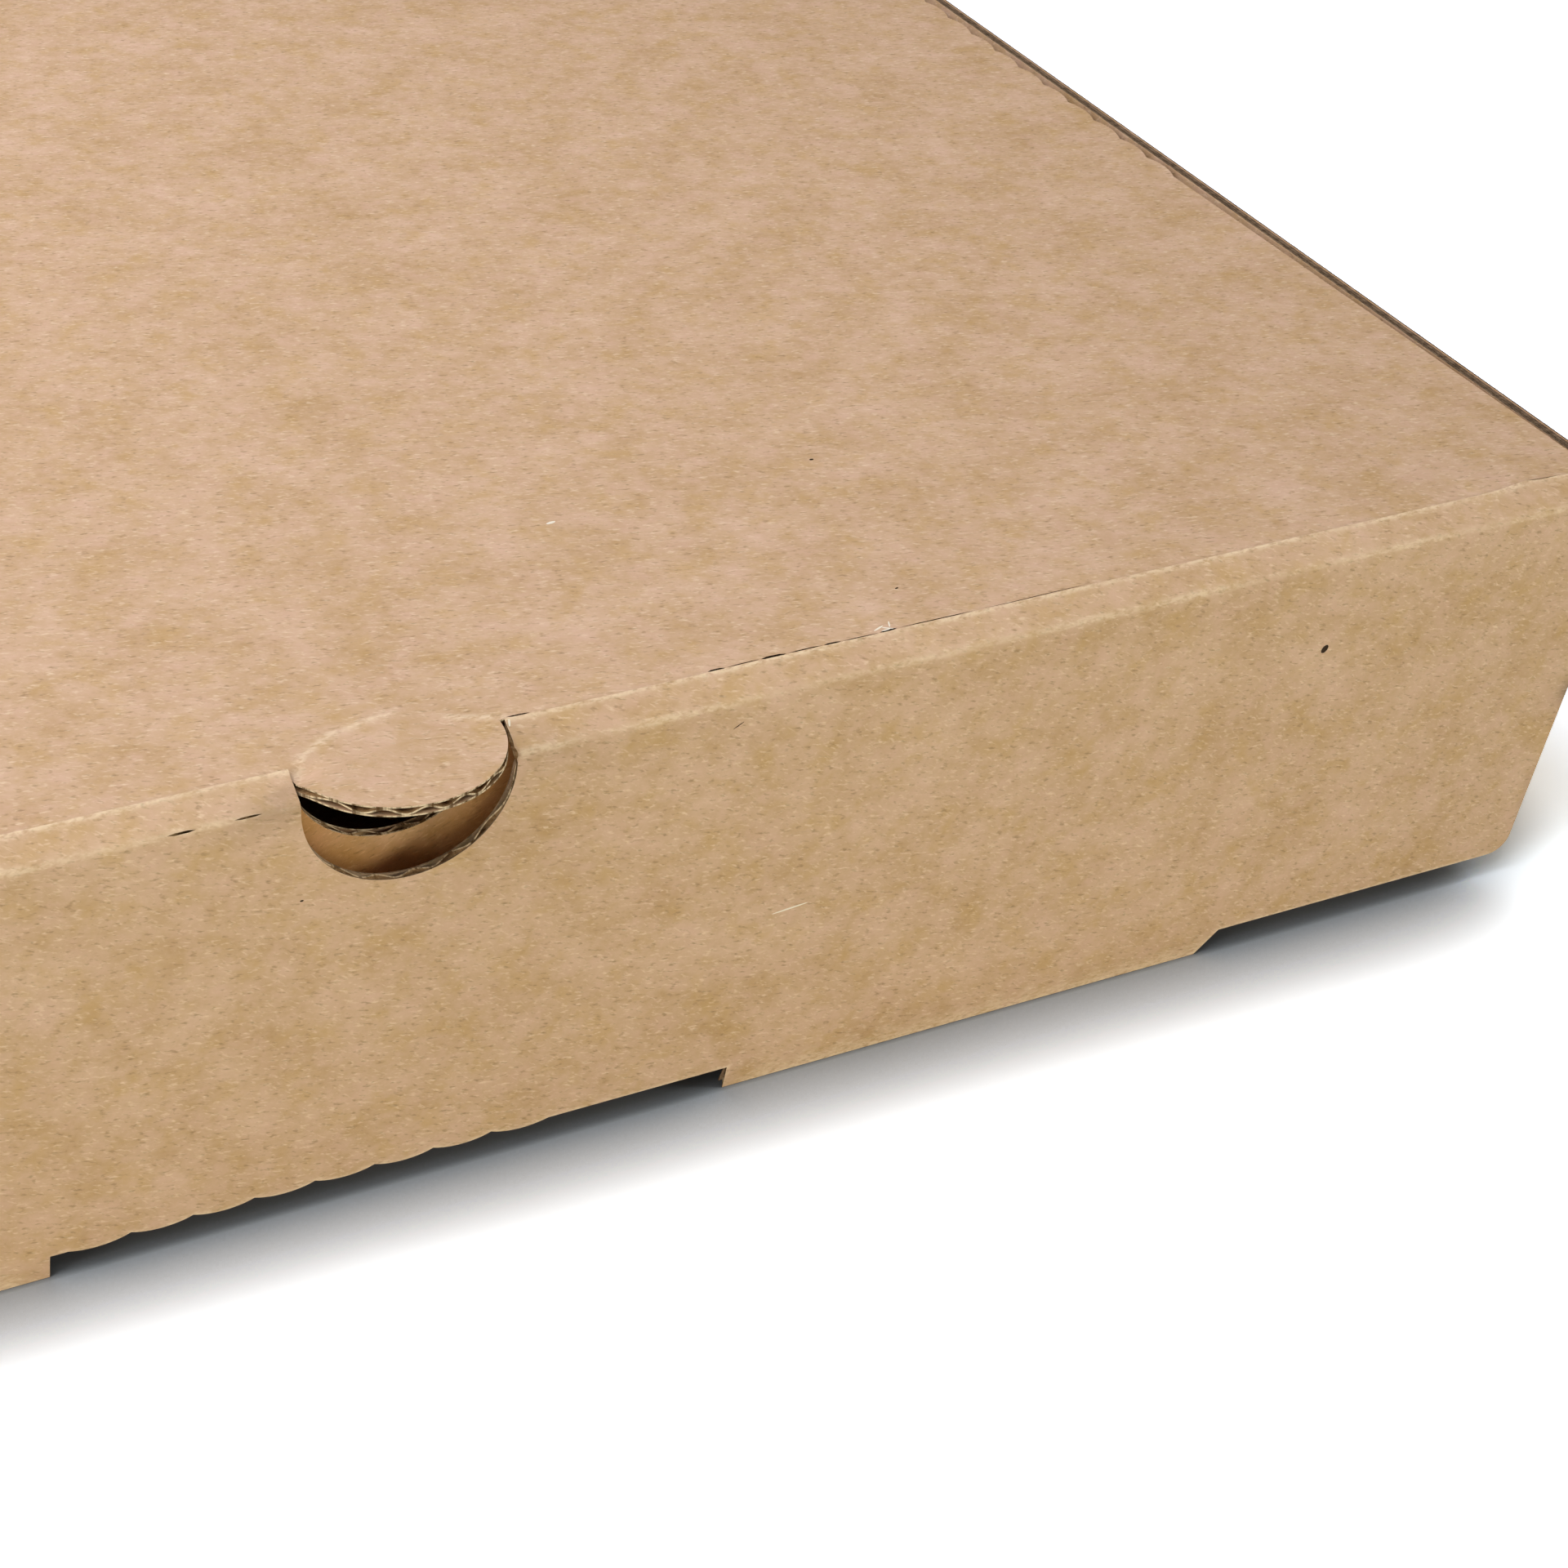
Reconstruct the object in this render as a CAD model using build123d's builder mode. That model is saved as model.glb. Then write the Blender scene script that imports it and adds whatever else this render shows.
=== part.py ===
from build123d import *
import math
import os

# Pizza box folded from one die-cut blank of thin corrugated board: a tray with sloped walls, a lid
# hinged on the rear wall, and a front flap hinged on the lid. Millimetres, +Z up, front towards -Y.
# The origin is the centre of the tray's underside.

# The board and its folds
board = 1.5
fold_radius = 2.0
corner_radius = 1.8
panel_gap = 0.3

# Overall sizes; the walls lean outwards from the base
box_height = 49.5
tray_top_width = 254.8
tray_top_depth = 252.8
wall_slope = 6.3

# Lid: it lies between the side walls and ends over the front wall
lid_overhang = 0.15
lid_half_front = 125.6
lid_half_rear = 123.3
side_wall_below_lid_top = 0.4
hinge_round = 1.2

# Wave-cut stretches: round scallops in the middle of the lid's sides and off centre on the flap's foot
wave_depth = 0.58
lid_wave_start = -50.0
lid_wave_end = 50.0
lid_wave_count = 17
lid_half_at_wave_start = 124.6
lid_half_at_wave_end = 123.75
foot_wave_start = -31.45
foot_wave_end = 14.55
foot_wave_count = 8
foot_wave_rise = 0.25

# Thumb tab on the lid, thumb hole in the flap and notch in the front wall
tab_radius = 9.45
hole_radius = 9.7
hole_offset = 0.2
hole_centre_below_top = 2.75
notch_radius = 9.4
notch_centre_above_wall = 1.5

# Front flap: a narrow bevel between two creases, then a face that leans in to the tray's foot
bevel_out = 3.0
bevel_drop = 1.83
crease_round = 0.7
foot_height = 3.13
foot_in = 1.68
foot_half = 124.7
flap_taper = 6.65
ear_top_below_crease = 0.6
ear_round = 1.5
foot_corner_round = 2.4

# Locking tabs on the flap's foot, curled in towards the slots at the foot of the front wall
lock_inner = 33.1
lock_outer = 86.6
lock_shoulder = 88.7
lock_tip_height = 0.05
lock_curl = 0.9
slot_margin = 1.2
slot_height = 2.7

# Corner flaps folded from the side walls, held flat inside the front and rear walls
corner_flap_length = 46.0
corner_flap_drop = 0.6
corner_flap_chamfer = 6.0
corner_relief = 3.0

# Places worked out from the sizes above
run = math.tan(math.radians(wall_slope))
layer = board / math.cos(math.radians(wall_slope))
lid_bottom = box_height - board
wall_top = lid_bottom - panel_gap
side_top = box_height - side_wall_below_lid_top
top_y = tray_top_depth / 2
base_x = tray_top_width / 2 - side_top * run
base_y = top_y - wall_top * run
crease_y = -top_y - lid_overhang
low_crease_y = crease_y - bevel_out
low_crease_z = box_height - bevel_drop
ear_top = low_crease_z - ear_top_below_crease
foot_y = crease_y + foot_in
ear_half = foot_half + (ear_top - foot_height) * math.tan(math.radians(flap_taper))


def spaced(start, end, count):
    """The ends of count equal steps from one value to another."""
    return [start + (end - start) * i / count for i in range(count + 1)]


def scallops(cusps):
    """Shallow arcs from cusp to cusp, each bulging to the right of the way along them."""
    for start, end in zip(cusps, cusps[1:]):
        SagittaArc(start, end, -wave_depth)


def folded_section(*corners, radius):
    """The section of a folded board: its outer line through the corners, thickened to the left."""
    with BuildSketch(Plane.XY) as section:
        with BuildLine():
            FilletPolyline(*corners, radius=radius)
            offset(amount=board, side=Side.LEFT)
        make_face()
    return section.sketch


# Front and rear walls with the base between them: one folded section, its ends cut to the side walls' slope
front_to_rear = folded_section(
    (-top_y, wall_top), (-base_y, 0), (base_y, 0), (top_y, wall_top), radius=fold_radius
)
end_at_relief = base_x + corner_relief * run - panel_gap
end_at_top = base_x + box_height * run - panel_gap
fold_end = base_x - fold_radius
with BuildPart() as end_walls:
    with BuildSketch(Plane.YZ):
        add(front_to_rear)
    extrude(amount=tray_top_width / 2, both=True)
    with BuildSketch(Plane.XZ):
        with BuildLine():
            Polyline(
                (-fold_end, 0),
                (fold_end, 0),
                (fold_end, corner_relief),
                (end_at_relief, corner_relief),
                (end_at_top, box_height),
                (-end_at_top, box_height),
                (-end_at_relief, corner_relief),
                (-fold_end, corner_relief),
                close=True,
            )
        make_face()
    extrude(amount=tray_top_depth, both=True, mode=Mode.INTERSECT)

# Side walls, each turned inwards at both ends into a corner flap that lies inside the front or rear wall
outer_x = base_x + corner_relief * run
outer_y = base_y + corner_relief * run - layer
flap_end = base_x - corner_flap_length
flap_top = wall_top - corner_flap_drop
flap_bend = base_x + flap_top * run - layer
with BuildPart() as side_walls:
    with BuildSketch(Plane.XY.offset(corner_relief)):
        Rectangle(2 * outer_x, 2 * outer_y)
    extrude(amount=side_top - corner_relief, taper=-wall_slope)
    upright_edges = side_walls.edges().filter_by(lambda edge: abs(edge.tangent_at(0.5).Z) > 0.9)
    fillet(upright_edges, corner_radius)
    with BuildSketch(Plane.XY.offset(corner_relief)):
        Rectangle(2 * (outer_x - layer), 2 * (outer_y - layer))
    extrude(amount=side_top - corner_relief, taper=-wall_slope, mode=Mode.SUBTRACT)
    with BuildSketch(Plane.XZ):
        with BuildLine():
            Polyline(
                (0, 0),
                (flap_end + corner_flap_chamfer, 0),
                (flap_end + corner_flap_chamfer, corner_relief),
                (flap_end, corner_relief + corner_flap_chamfer),
                (flap_end, flap_top - corner_flap_chamfer),
                (flap_end + corner_flap_chamfer, flap_top),
                (flap_bend, flap_top),
                (flap_bend, box_height),
                (0, box_height),
                close=True,
            )
        make_face()
        mirror(about=Plane.YZ)
    extrude(amount=tray_top_depth, both=True, mode=Mode.SUBTRACT)

# Tray: the walls joined to the base by their folds
side_fold_top = 2 * corner_relief
side_to_side = folded_section(
    (-base_x - side_fold_top * run, side_fold_top),
    (-base_x, 0),
    (base_x, 0),
    (base_x + side_fold_top * run, side_fold_top),
    radius=fold_radius,
)
slot_length = lock_shoulder - lock_inner + 2 * slot_margin
slot_middle = (lock_shoulder + lock_inner) / 2
slot_z = board + slot_height / 2
with BuildPart() as tray:
    add(end_walls.part)
    with BuildSketch(Plane.XZ):
        add(side_to_side)
    extrude(amount=base_y - layer - corner_radius, both=True)
    add(side_walls.part)

    # Thumb notch in the top of the front wall
    with BuildSketch(Plane.XZ.offset(top_y)):
        with Locations((0, wall_top + notch_centre_above_wall)):
            Circle(notch_radius)
    extrude(amount=-3 * board, mode=Mode.SUBTRACT)

    # Slots at the foot of the front wall, which take the flap's locking tabs
    with BuildSketch(Plane.XZ.offset(base_y + board)):
        with Locations((slot_middle, slot_z), (-slot_middle, slot_z)):
            SlotOverall(slot_length, slot_height)
    extrude(amount=-4 * board, mode=Mode.SUBTRACT)
tray.part.label = "tray"

# Lid: a flat panel, its sides wave-cut in the middle, and a half-round thumb tab past the front crease
lid_wave_x = spaced(lid_half_at_wave_start, lid_half_at_wave_end, lid_wave_count)
lid_wave_y = spaced(lid_wave_start, lid_wave_end, lid_wave_count)
lid_cusps = list(zip(lid_wave_x, lid_wave_y))
with BuildPart() as lid:
    with BuildSketch(Plane.XY.offset(lid_bottom)):
        with BuildLine():
            Polyline((0, crease_y), (lid_half_front, crease_y), lid_cusps[0])
            scallops(lid_cusps)
            Polyline(lid_cusps[-1], (lid_half_rear, top_y), (0, top_y))
            mirror(about=Plane.YZ)
        make_face()
        with Locations((0, crease_y)):
            Circle(tab_radius)
    extrude(amount=board)
    fillet(lid.faces().sort_by(Axis.Z)[-1].edges().filter_by(Axis.X).sort_by(Axis.Y)[-1], hinge_round)
lid.part.label = "lid"

# Front flap: the folded section first, then trimmed to its outline as seen from the front
foot_wave_x = spaced(foot_wave_start, foot_wave_end, foot_wave_count)
raised_cusps = [(x, foot_height + foot_wave_rise) for x in foot_wave_x[1:-1]]
foot_cusps = [(foot_wave_start, foot_height), *raised_cusps, (foot_wave_end, foot_height)]
flap_fold = folded_section(
    (crease_y, box_height),
    (low_crease_y, low_crease_z),
    (foot_y, foot_height),
    (foot_y + lock_curl, lock_tip_height),
    radius=crease_round,
)
with BuildPart() as front_flap:
    with BuildSketch(Plane.YZ):
        add(flap_fold)
        # The bevel's upper end is cut on the plane of the hinge, so it clears the lid at every angle
        with Locations((crease_y, lid_bottom - board)):
            Rectangle(3 * board, 3 * board, align=(Align.MIN, Align.MIN), mode=Mode.SUBTRACT)
    extrude(amount=ear_half, both=True)

    with BuildSketch(Plane.XZ.offset(-crease_y - 4 * board)) as outline:
        with BuildLine():
            Line((-lid_half_front, box_height), (lid_half_front, box_height))
            Polyline(
                (lid_half_front, box_height),
                (lid_half_front, ear_top),
                (ear_half, ear_top),
                (foot_half, foot_height),
                (lock_shoulder, foot_height),
                (lock_outer, 0),
                (lock_inner, 0),
                (lock_inner, foot_height),
                (foot_wave_end, foot_height),
            )
            scallops(foot_cusps)
            Polyline(
                (foot_wave_start, foot_height),
                (-lock_inner, foot_height),
                (-lock_inner, 0),
                (-lock_outer, 0),
                (-lock_shoulder, foot_height),
                (-foot_half, foot_height),
                (-ear_half, ear_top),
                (-lid_half_front, ear_top),
                (-lid_half_front, box_height),
            )
        make_face()
        ear_corners = outline.vertices().filter_by(lambda v: abs(abs(v.X) - ear_half) < 0.01)
        fillet(ear_corners, ear_round)
        foot_corners = outline.vertices().filter_by(lambda v: abs(abs(v.X) - foot_half) < 0.01)
        fillet(foot_corners, foot_corner_round)
        with Locations((hole_offset, box_height - hole_centre_below_top)):
            Circle(hole_radius, mode=Mode.SUBTRACT)
            Rectangle(
                2 * hole_radius, 2 * bevel_out, align=(Align.CENTER, Align.MIN), mode=Mode.SUBTRACT
            )
    extrude(amount=8 * board, mode=Mode.INTERSECT)
front_flap.part.label = "front_flap"

os.makedirs("parts", exist_ok=True)
export_step(tray.part, "parts/tray.step")
export_step(lid.part, "parts/lid.step")
export_step(front_flap.part, "parts/front_flap.step")
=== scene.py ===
import math

import bpy
import numpy as np
from mathutils import Matrix, Vector
from mathutils.geometry import delaunay_2d_cdt


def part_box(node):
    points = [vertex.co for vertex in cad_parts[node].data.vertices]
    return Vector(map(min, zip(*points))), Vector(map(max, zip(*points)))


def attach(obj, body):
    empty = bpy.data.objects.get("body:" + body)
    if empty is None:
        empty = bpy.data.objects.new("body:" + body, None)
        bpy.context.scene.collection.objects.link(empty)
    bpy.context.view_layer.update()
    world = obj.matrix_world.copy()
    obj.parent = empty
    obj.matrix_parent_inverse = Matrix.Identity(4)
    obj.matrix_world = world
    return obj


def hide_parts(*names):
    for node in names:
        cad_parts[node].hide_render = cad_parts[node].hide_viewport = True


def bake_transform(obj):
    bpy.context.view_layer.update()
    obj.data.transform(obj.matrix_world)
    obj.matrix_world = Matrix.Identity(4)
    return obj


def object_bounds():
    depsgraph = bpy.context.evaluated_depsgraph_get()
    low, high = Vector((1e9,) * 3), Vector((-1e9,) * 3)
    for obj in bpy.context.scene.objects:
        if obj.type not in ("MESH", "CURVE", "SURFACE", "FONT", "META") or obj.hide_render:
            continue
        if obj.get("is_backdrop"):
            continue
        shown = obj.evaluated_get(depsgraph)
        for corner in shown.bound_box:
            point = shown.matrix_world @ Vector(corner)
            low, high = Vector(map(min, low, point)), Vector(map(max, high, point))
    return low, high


# A pizza box folded from one blank of thin corrugated kraft board. Sizes are in millimetres.
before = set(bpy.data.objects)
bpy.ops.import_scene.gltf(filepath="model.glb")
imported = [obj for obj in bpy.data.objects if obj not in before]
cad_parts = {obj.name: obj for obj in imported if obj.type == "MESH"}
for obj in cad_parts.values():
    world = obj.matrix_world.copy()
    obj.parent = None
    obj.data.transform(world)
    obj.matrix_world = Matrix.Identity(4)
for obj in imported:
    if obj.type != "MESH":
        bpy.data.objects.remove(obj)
cad_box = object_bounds()
MM = 0.001

# Places read from the frame
lid_high = np.array(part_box("lid")[1]) / MM
tray_high = np.array(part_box("tray")[1]) / MM
box_height = lid_high[2]
rear_y = lid_high[1]
side_top = tray_high[2]
top_half = tray_high[0]

# The board: two liners with a fluted sheet between them
board = 1.5
liner = 0.22
medium = 0.26
flute_pitch = 3.35
flute_step = 0.3
wall_slope = 6.3
run = math.tan(math.radians(wall_slope))
layer = board / math.cos(math.radians(wall_slope))

# Finishes of a piece's faces, in the order of its materials; the raw finish is painted shade, the dark one
# dark specks and painted shade in splits
SHEET, CUT, FLUTE, SHADED_RAW, DARK_SPECK_AND_SHADE, PALE = range(6)

# Lid, thumb tab, thumb hole and notch
lid_overhang = 0.15
crease_y = -rear_y - lid_overhang
lid_half_front = 125.6
lid_half_rear = 123.3
hinge_round = 1.2
tab_radius = 9.45
hole_radius = 9.7
hole_x = 0.2
hole_centre_below_top = 2.75
hole_z = box_height - hole_centre_below_top
panel_gap = 0.3
wall_top = box_height - board - panel_gap
notch_radius = 9.4
notch_centre_above_wall = 1.5
notch_z = wall_top + notch_centre_above_wall
face_drop = 0.06

# Front flap
bevel_out = 3.0
bevel_drop = 1.83
crease_round = 0.7
low_crease_z = box_height - bevel_drop
ear_top_below_crease = 0.6
ear_z = low_crease_z - ear_top_below_crease
foot_z = 3.13
foot_in = 1.68
foot_y = crease_y + foot_in
foot_half = 124.7
flap_taper = 6.65
ear_half = foot_half + (ear_z - foot_z) * math.tan(math.radians(flap_taper))
ear_round = 1.5
foot_corner_round = 2.4
lock_inner = 33.1
lock_outer = 86.6
lock_shoulder = 88.7
lock_tip_z = 0.05
lock_curl = 0.9

# Wave-cut stretches
wave_depth = 0.58
lid_wave_start = -50.0
lid_wave_end = 50.0
lid_wave_count = 17
lid_half_at_wave_start = 124.6
lid_half_at_wave_end = 123.75
foot_wave_start = -31.45
foot_wave_end = 14.55
foot_wave_count = 8
foot_wave_rise = 0.25

# Tray
fold_radius = 2.0
corner_radius = 1.8
base_half_x = top_half - side_top * run
base_half_y = rear_y - wall_top * run
base_edge = base_half_x - fold_radius
relief = 3.0
corner_flap_length = 46.0
corner_flap_end = base_half_x - corner_flap_length
corner_flap_drop = 0.6
corner_flap_top = wall_top - corner_flap_drop
corner_flap_chamfer = 6.0
slot_middle = (lock_shoulder + lock_inner) / 2
slot_margin = 1.2
slot_half = (lock_shoulder - lock_inner) / 2 + slot_margin
slot_round = 1.35
slot_z = board + slot_round


def wander(x, step, seed):
    """Smooth noise along a line, between -1 and 1, with a new value every step."""
    values = np.random.default_rng(seed).uniform(-1, 1, 1024)
    place = np.asarray(x, float) / step + 400
    index = np.floor(place).astype(int)
    share = place - index
    share = share * share * (3 - 2 * share)
    return values[index % 1024] * (1 - share) + values[(index + 1) % 1024] * share


def ripple(u, v, step, seed):
    """Smooth noise over a sheet, between -1 and 1, with a new value every step."""
    values = np.random.default_rng(seed).uniform(-1, 1, (256, 256))
    a, b = np.asarray(u, float) / step + 100, np.asarray(v, float) / step + 100
    i, j = np.floor(a).astype(int), np.floor(b).astype(int)
    f, g = a - i, b - j
    f, g = f * f * (3 - 2 * f), g * g * (3 - 2 * g)
    near = values[i % 256, j % 256] * (1 - f) + values[(i + 1) % 256, j % 256] * f
    far = values[i % 256, (j + 1) % 256] * (1 - f) + values[(i + 1) % 256, (j + 1) % 256] * f
    return near * (1 - g) + far * g


def bump(x, width):
    """A smooth hump of height 1 round zero."""
    return np.exp(-((np.asarray(x, float) / width) ** 2))


class Fold:
    """The outer line of a folded board in its section, with rounded corners; the board lies to its left."""

    def __init__(self, corners, radius, crush=0.0):
        self.parts = []
        self.middles = []
        self.crush = crush
        corners = [np.array(corner, float) for corner in corners]
        start = corners[0]
        length = 0.0
        for i in range(1, len(corners)):
            way = corners[i] - corners[i - 1]
            way = way / np.linalg.norm(way)
            if i == len(corners) - 1:
                end, turn = corners[i], 0.0
            else:
                onward = corners[i + 1] - corners[i]
                onward = onward / np.linalg.norm(onward)
                turn = math.acos(np.clip(way @ onward, -1, 1))
                end = corners[i] - way * radius * math.tan(turn / 2)
            run_length = np.linalg.norm(end - start)
            self.parts.append(("run", length, start, way))
            length += run_length
            if turn:
                left = np.array([-way[1], way[0]])
                angle = math.atan2(-left[1], -left[0])
                self.parts.append(("arc", length, end + left * radius, angle, radius))
                self.middles.append(length + radius * turn / 2)
                length += radius * turn
                start = corners[i] + onward * radius * math.tan(turn / 2)
        self.length = length
        reach = np.linspace(0, length, 4000)
        self.reach, self.heights = reach, self.at(reach, 0.0)[1]

    def at(self, length, depth):
        """The two coordinates at a length along the line and a depth into the board."""
        length, depth = np.broadcast_arrays(np.asarray(length, float), np.asarray(depth, float))
        for middle in self.middles:
            depth = depth * (1 - self.crush * bump(length - middle, 1.1))
        across, up = np.zeros(length.shape), np.zeros(length.shape)
        for i, part in enumerate(self.parts):
            inside = length >= part[1] if i else np.full(length.shape, True)
            if i + 1 < len(self.parts):
                inside = inside & (length < self.parts[i + 1][1])
            if part[0] == "run":
                way = part[3]
                gone = length - part[1]
                across = np.where(inside, part[2][0] + way[0] * gone - way[1] * depth, across)
                up = np.where(inside, part[2][1] + way[1] * gone + way[0] * depth, up)
            else:
                angle = part[3] + (length - part[1]) / part[4]
                across = np.where(inside, part[2][0] + (part[4] - depth) * np.cos(angle), across)
                up = np.where(inside, part[2][1] + (part[4] - depth) * np.sin(angle), up)
        return across, up

    def falling(self, height):
        """The length at which the line comes down to a height."""
        lowest = int(np.argmin(self.heights))
        return np.interp(-np.asarray(height, float), -self.heights[: lowest + 1], self.reach[: lowest + 1])

    def rising(self, height):
        """The length at which the line comes up to a height."""
        highest = len(self.heights) - 1
        lowest = highest - int(np.argmin(self.heights[::-1]))
        return np.interp(height, self.heights[lowest:], self.reach[lowest:])


class Shape:
    """One mesh in the making: points, faces, places on the flat sheet, marks for crease wear, painted
    highlight and painted shade, and finishes.
    """

    def __init__(self):
        self.points, self.sheet, self.wear, self.faces, self.finish = [], [], [], [], []
        self.count = 0

    def add(self, points, faces, sheet, finish, wear=0.0):
        self.points.append(points)
        self.sheet.append(sheet)
        self.wear.append(np.broadcast_to(wear, len(points)))
        self.faces.extend((np.asarray(faces) + self.count).tolist())
        self.finish.extend([finish] * len(faces))
        self.count += len(points)

    def build(self, name, materials):
        mesh = bpy.data.meshes.new(name)
        mesh.from_pydata((np.concatenate(self.points) * MM).tolist(), [], self.faces)
        for material in materials:
            mesh.materials.append(material)
        mesh.polygons.foreach_set("material_index", np.array(self.finish, np.int32))
        mesh.polygons.foreach_set("use_smooth", np.ones(len(self.faces), bool))
        corners = np.empty(len(mesh.loops), np.int32)
        mesh.loops.foreach_get("vertex_index", corners)
        sheet = np.concatenate(self.sheet)[corners] * MM
        mesh.uv_layers.new(name="sheet").data.foreach_set("uv", sheet.astype(np.float32).ravel())
        wear = mesh.attributes.new("wear", "FLOAT", "POINT")
        wear.data.foreach_set("value", np.concatenate(self.wear).astype(np.float32))
        mesh.update()
        piece = bpy.data.objects.new(name, mesh)
        bpy.context.scene.collection.objects.link(piece)
        return piece


def within(points, loop):
    """Which points lie inside a closed loop."""
    inside = np.zeros(len(points), bool)
    x, y = points[:, 0], points[:, 1]
    for (x0, y0), (x1, y1) in zip(loop, np.roll(loop, -1, axis=0)):
        if y0 != y1:
            crosses = (y0 > y) != (y1 > y)
            inside ^= crosses & (x < (x1 - x0) * (y - y0) / (y1 - y0) + x0)
    return inside


def dense(loop, step):
    """A closed loop with no side longer than step."""
    points = []
    for start, end in zip(loop, np.roll(loop, -1, axis=0)):
        count = max(1, math.ceil(np.linalg.norm(end - start) / step))
        points.extend(start + (end - start) * k / count for k in range(count))
    return np.array(points)


def on_sheet(points, loops):
    """Which points lie inside the outline, the first loop, and outside the holes, the other loops."""
    inside = within(points, loops[0])
    for hole in loops[1:]:
        inside &= ~within(points, hole)
    return inside


def inner_points(outline, rows, step, row_step, fine):
    """Points that fill a sheet: a grid, closer rows along the folds and finer patches."""
    low, high = outline.min(axis=0), outline.max(axis=0)
    columns = np.arange(low[0] + step / 2, high[0], step)
    u, v = np.meshgrid(columns, np.arange(low[1] + step / 2, high[1], step))
    points = [np.column_stack([u.ravel(), v.ravel()])]
    for row in rows:
        u = np.arange(low[0] + row_step / 2, high[0], row_step)
        points.append(np.column_stack([u, np.full(len(u), row)]))
    for left, right, lower, upper, fine_step in fine:
        u, v = np.meshgrid(np.arange(left, right, fine_step), np.arange(lower, upper, fine_step))
        points.append(np.column_stack([u.ravel(), v.ravel()]))
    return np.concatenate(points)


def fill(loops, inner):
    """The points and triangles of a flat sheet with an outline, holes and inner points."""
    edges, first = [], 0
    for loop in loops:
        edges += [(first + k, first + (k + 1) % len(loop)) for k in range(len(loop))]
        first += len(loop)
    points = np.concatenate([*loops, inner[on_sheet(inner, loops)]])
    flat, _, triangles, *_ = delaunay_2d_cdt([Vector(point) for point in points], edges, [], 0, 1e-5)
    flat = np.array([point[:] for point in flat])
    triangles = np.array([triangle for triangle in triangles if len(triangle) == 3])
    return flat, triangles[on_sheet(flat[triangles].mean(axis=1), loops)]


def add_liner(
    shape, loops, place, near, far, rows, wear,
    step=4.0, row_step=1.0, fine=(), rim_finish=CUT, slit_finish=CUT,
):
    """One liner sheet between two depths. The first loop is its outline, the others are holes."""
    loops = [dense(np.array(loop, float), step) for loop in loops]
    flat, triangles = fill(loops, inner_points(loops[0], rows, step, row_step, fine))
    marks = wear(flat[:, 0], flat[:, 1])
    shape.add(place(flat[:, 0], flat[:, 1], near), triangles, flat, SHEET, marks)
    shape.add(place(flat[:, 0], flat[:, 1], far), triangles[:, ::-1], flat, SHEET)
    for index, loop in enumerate(loops):
        count = len(loop)
        wall = np.concatenate([place(loop[:, 0], loop[:, 1], near), place(loop[:, 0], loop[:, 1], far)])
        k = np.arange(count)
        after = (k + 1) % count
        faces = np.column_stack([k, k + count, after + count, after])
        finish = slit_finish if index else rim_finish
        shape.add(wall, faces, np.concatenate([loop, loop]), finish)


def add_flutes(shape, across, low, high, rows, place, upright=False, finish=FLUTE, cap_finish=CUT):
    """The fluted sheet: columns across the flutes, each running along them from low to high."""
    along = np.clip(np.sort(np.append(rows, [1e6, -1e6]))[:, None], low, high)
    across = np.broadcast_to(across, along.shape)
    swing = (board - 2 * liner - medium) / 2
    middle = board / 2 + swing * np.sin(2 * math.pi * across / flute_pitch)
    count = along.shape[1]
    u, v = (along.ravel(), across.ravel()) if upright else (across.ravel(), along.ravel())
    sheet = np.column_stack([u, v])
    sides = [place(u, v, (middle + side * medium / 2).ravel()) for side in (-1, 1)]
    i, j = np.meshgrid(np.arange(along.shape[0] - 1), np.arange(count - 1), indexing="ij")
    corner = (i * count + j).ravel()
    quads = np.column_stack([corner, corner + 1, corner + 1 + count, corner + count])
    for points in sides:
        shape.add(points, quads, sheet, finish)
    for end in (slice(0, count), slice(len(sheet) - count, len(sheet))):
        k = np.arange(count - 1)
        caps = np.concatenate([sides[0][end], sides[1][end]])
        faces = np.column_stack([k, k + 1, k + 1 + count, k + count])
        shape.add(caps, faces, np.concatenate([sheet[end], sheet[end]]), cap_finish)


def arc(centre, radius, start, end, count):
    """Points on a circle from one angle to another, in degrees."""
    angle = np.radians(np.linspace(start, end, count))
    return np.column_stack([centre[0] + radius * np.cos(angle), centre[1] + radius * np.sin(angle)])


def waves(start, end, count, depth, fineness=6):
    """A row of shallow round scallops from start to end, each bulging to the right by depth."""
    start, end = np.array(start, float), np.array(end, float)
    share = np.arange(count * fineness) / fineness
    way = (end - start) / count
    right = np.array([way[1], -way[0]]) / np.linalg.norm(way)
    bulge = depth * (1 - (2 * (share % 1) - 1) ** 2)
    return start + share[:, None] * way + bulge[:, None] * right


def plain(u, v):
    """No wear anywhere."""
    return np.zeros(len(u))


def crease_shift(u):
    """How far the front crease wanders from a straight line; near its right end it steps back."""
    step_back = 0.75 * bump(u - 118.6, 3.2)
    return 0.05 * wander(u, 9.0, 1) + 0.035 * wander(u, 2.1, 2) + step_back


def pressed(distance):
    """The share of its thickness that the board keeps near a die-cut edge."""
    share = np.clip(distance / 3.0, 0, 1)
    return 0.66 + 0.34 * share * share * (3 - 2 * share)


def slit(start, end, v, width):
    """A narrow cut along a crease, pointed at both ends."""
    taper = (end - start) / 4
    low, high = v - width / 2, v + width / 2
    inner = start + taper, end - taper
    return [(start, v), (inner[0], low), (inner[1], low), (end, v), (inner[1], high), (inner[0], high)]


def add_flecks(shape, place, flecks, finish):
    """Specks and loose fibres lying on a sheet: each a middle, a length, a width and a turn in degrees."""
    for u, v, length, width, turn in flecks:
        ring = arc((0, 0), 0.5, 0, 330, 12) * (length, width)
        way = np.array([math.cos(math.radians(turn)), math.sin(math.radians(turn))])
        ring = (u, v) + ring[:, :1] * way + ring[:, 1:] * (-way[1], way[0])
        shape.add(place(ring[:, 0], ring[:, 1], -0.015), [range(12)], ring, finish)


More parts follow.
